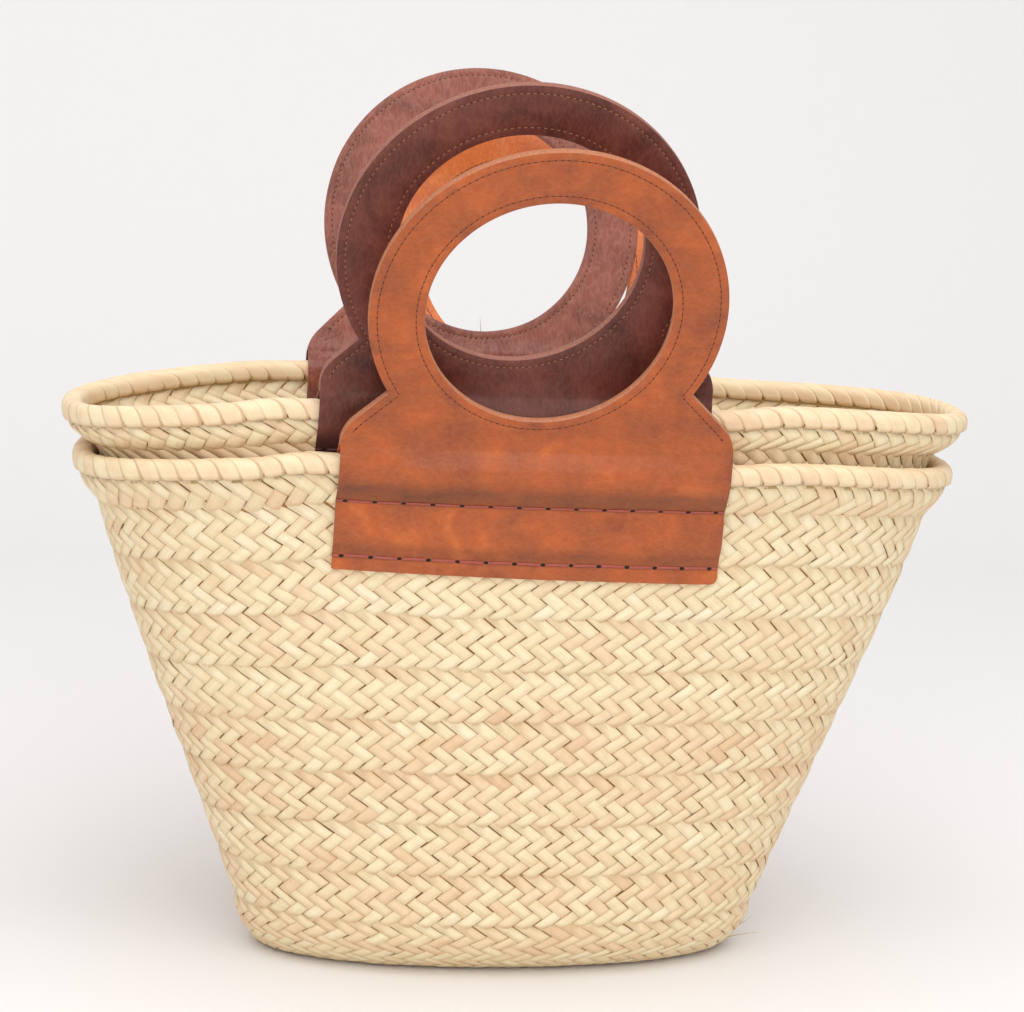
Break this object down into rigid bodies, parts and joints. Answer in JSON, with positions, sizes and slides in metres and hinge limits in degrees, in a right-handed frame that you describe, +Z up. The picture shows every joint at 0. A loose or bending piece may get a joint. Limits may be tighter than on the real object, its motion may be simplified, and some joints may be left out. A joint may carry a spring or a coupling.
{
  "type": "straw basket",
  "caption": "Nested pair of tapered oval plaited palm-leaf market baskets with wound rims and stiff leather ring handles that fold at the rim; the inner basket lifts out.",
  "frame": {"origin": "on the floor, in the middle of the outer basket's flat foot", "axes": "+X along the baskets' length, -Y towards the front handles, +Z up"},
  "size_m": [0.5204, 0.384, 0.5095],
  "materials": {
    "palm_leaf": "dried palm leaf, plaited, satin",
    "leaf_stalk": "bundled leaf stalks, dry",
    "stiff_board": "pressed fibre board, matte",
    "tan_leather": "vegetable-tanned cowhide, tan, semi-gloss",
    "brown_leather": "vegetable-tanned cowhide, dark brown, semi-gloss"
  },
  "bodies": {
    "outer_basket": {"outer_plaited_body": "palm_leaf", "outer_rim_core": "leaf_stalk", "outer_rim_binding": "palm_leaf", "outer_front_outside_flap": "tan_leather", "outer_front_inside_flap": "tan_leather", "outer_back_outside_flap": "tan_leather", "outer_back_inside_flap": "tan_leather"},
    "outer_front_handle": {"outer_front_board": "stiff_board", "outer_front_face_leather": "tan_leather", "outer_front_back_leather": "tan_leather"},
    "outer_back_handle": {"outer_back_board": "stiff_board", "outer_back_face_leather": "tan_leather", "outer_back_back_leather": "tan_leather"},
    "inner_basket": {"inner_plaited_body": "palm_leaf", "inner_rim_core": "leaf_stalk", "inner_rim_binding": "palm_leaf", "inner_front_outside_flap": "brown_leather", "inner_front_inside_flap": "brown_leather", "inner_back_outside_flap": "brown_leather", "inner_back_inside_flap": "brown_leather"},
    "inner_front_handle": {"inner_front_board": "stiff_board", "inner_front_face_leather": "brown_leather", "inner_front_back_leather": "brown_leather"},
    "inner_back_handle": {"inner_back_board": "stiff_board", "inner_back_face_leather": "brown_leather", "inner_back_back_leather": "brown_leather"}
  },
  "joints": [
    {"name": "nest_lift", "type": "slide", "parent": "outer_basket", "child": "inner_basket", "axis": [0, 0, 1], "range_m": [0, 0.46]},
    {"name": "outer_front_fold", "type": "hinge", "parent": "outer_basket", "child": "outer_front_handle", "pos_m": [-0.0088, -0.11587, 0.3126], "axis": [1, 0, -0.007], "range_deg": [-1, 70]},
    {"name": "outer_back_fold", "type": "hinge", "parent": "outer_basket", "child": "outer_back_handle", "pos_m": [0.027, 0.11522, 0.3078], "axis": [-1, 0, 0], "range_deg": [-2, 63]},
    {"name": "inner_front_fold", "type": "hinge", "parent": "inner_basket", "child": "inner_front_handle", "pos_m": [-0.0197, -0.10537, 0.3403], "axis": [1, 0, 0], "range_deg": [-50, 4]},
    {"name": "inner_back_fold", "type": "hinge", "parent": "inner_basket", "child": "inner_back_handle", "pos_m": [-0.0062, 0.10441, 0.3333], "axis": [-1, 0, 0], "range_deg": [-45, 9]}
  ]
}
